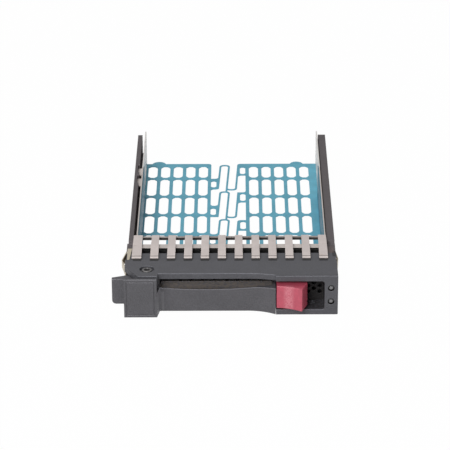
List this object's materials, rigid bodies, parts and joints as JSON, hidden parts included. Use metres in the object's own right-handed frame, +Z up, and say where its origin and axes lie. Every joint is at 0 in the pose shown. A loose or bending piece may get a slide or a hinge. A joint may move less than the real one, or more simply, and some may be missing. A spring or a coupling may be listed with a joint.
{
  "type": "hot swap drive caddy",
  "caption": "Hot swap caddy for a 2.5-inch drive: steel side walls on plastic rails, insulating floor film, spring fingers, swing-out release lever and sliding button.",
  "frame": {"origin": "on the underside plane, on the mid-plane between the side walls, below the bezel's front face", "axes": "+X to the right seen from the front, +Y from the bezel to the rear, +Z up"},
  "size_m": [0.0838, 0.1427, 0.0162],
  "materials": {
    "bezel_plastic": "fine moulded texture, dark grey",
    "rail_plastic": "moulded, dark warm grey",
    "button_plastic": "satin burgundy",
    "black_screen": "black coated, perforated",
    "frame_steel": "plated sheet steel",
    "spring_steel": "thin spring steel, satin",
    "fastener_steel": "plated",
    "dark_pin": "blackened",
    "teal_film": "die-cut insulating film, teal",
    "clear_plastic": "frosted grey light pipe"
  },
  "bodies": {
    "chassis": {"bezel_housing": "bezel_plastic", "vent_screen": "black_screen", "lever_pivot_pin": "dark_pin", "pivot_pin_clip": "spring_steel", "lever_spring": "spring_steel", "button_spring": "spring_steel", "steel_frame": "frame_steel", "finger_strip": "spring_steel", "left_side_spring": "spring_steel", "right_side_spring": "spring_steel", "floor_film": "teal_film", "left_rail": "rail_plastic", "right_rail": "rail_plastic", "upper_light_pipe": "clear_plastic", "lower_light_pipe": "clear_plastic", "left_rail_rivets": "fastener_steel", "right_rail_rivets": "fastener_steel", "bezel_screws": "fastener_steel"},
    "lever": {"release_lever": "bezel_plastic"},
    "button": {"release_button": "button_plastic"}
  },
  "joints": [
    {"name": "lever_swing", "type": "hinge", "parent": "chassis", "child": "lever", "pos_m": [-0.0309, 0.006, 0.008], "axis": [0, 0, -1], "range_deg": [0, 45]},
    {"name": "button_slide", "type": "slide", "parent": "chassis", "child": "button", "axis": [1, 0, 0], "range_m": [0, 0.003], "stiffness_N_per_m": 300, "springref_m": -0.001, "deforming": ["button_spring"]}
  ]
}
